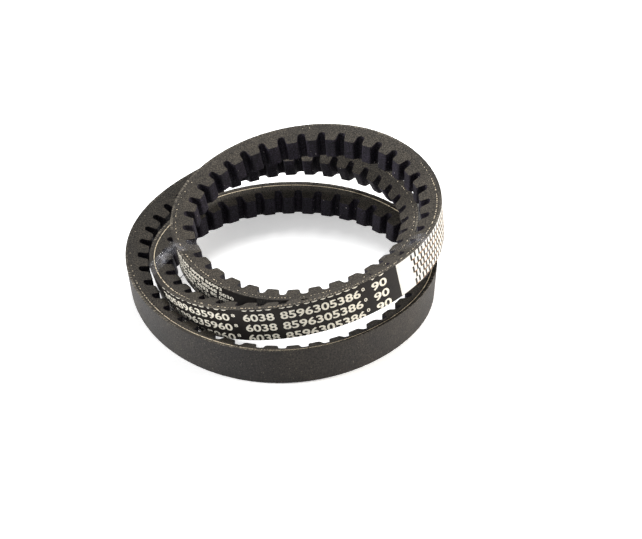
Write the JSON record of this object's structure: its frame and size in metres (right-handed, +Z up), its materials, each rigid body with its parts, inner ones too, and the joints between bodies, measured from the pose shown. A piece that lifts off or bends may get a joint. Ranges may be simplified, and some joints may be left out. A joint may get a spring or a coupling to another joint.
{
  "type": "v belt",
  "caption": "Endless cogged V-belt with cut raw sides and a fabric back, coiled in loops and held by clear tape ties.",
  "frame": {"origin": "middle of the coil's outline on the surface that the coil lies on", "axes": "+Z up along the coil's axis, -Y towards the printed front"},
  "size_m": [0.1491, 0.1552, 0.0511],
  "materials": {
    "core_rubber": "cut raw rubber with short fibres, dull",
    "gum_rubber": "dull",
    "cord": "twisted cream cord",
    "back_fabric": "rubberised woven fabric, low sheen",
    "band_film": "printed transfer film",
    "panel_film": "white label film",
    "clear_tape": "clear thin tape, wrinkled"
  },
  "bodies": {
    "root": {"cogged_core": "core_rubber", "undercord_gum": "gum_rubber", "tensile_cord": "cord", "overcord_gum": "gum_rubber", "inner_fabric_ply": "back_fabric", "outer_fabric_ply": "back_fabric", "number_band": "band_film", "white_panel": "panel_film", "fine_print_band": "band_film", "left_tie": "clear_tape", "right_tie": "clear_tape"}
  },
  "joints": []
}
